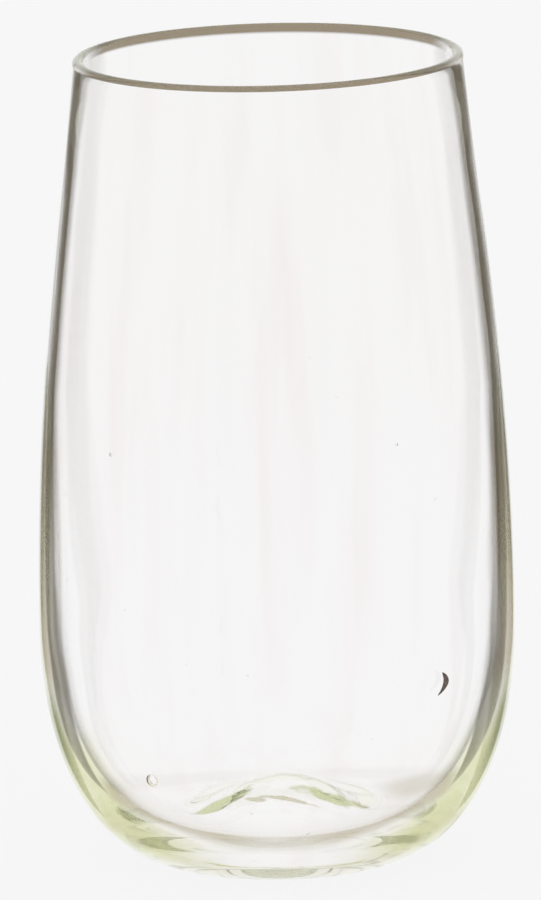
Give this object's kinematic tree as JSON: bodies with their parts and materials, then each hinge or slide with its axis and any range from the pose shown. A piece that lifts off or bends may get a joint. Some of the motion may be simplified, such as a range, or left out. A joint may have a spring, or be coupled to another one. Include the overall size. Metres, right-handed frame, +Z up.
{
  "type": "highball glass",
  "caption": "Hand-blown tall drinking glass with a low belly, a narrowing fire-polished lip and a thick, pushed-up base; clear glass with a faint straw-green cast.",
  "frame": {"origin": "centre of the foot ring, on the plane that the glass stands on", "axes": "+Z up along the axis of the glass, from the foot to the lip; X and Y are free because the glass is turned about Z"},
  "size_m": [0.0792, 0.0792, 0.135],
  "materials": {
    "glass": "clear and fire-polished, faint straw-green cast in the thick base"
  },
  "bodies": {
    "root": {"glass_body": "glass"}
  },
  "joints": []
}
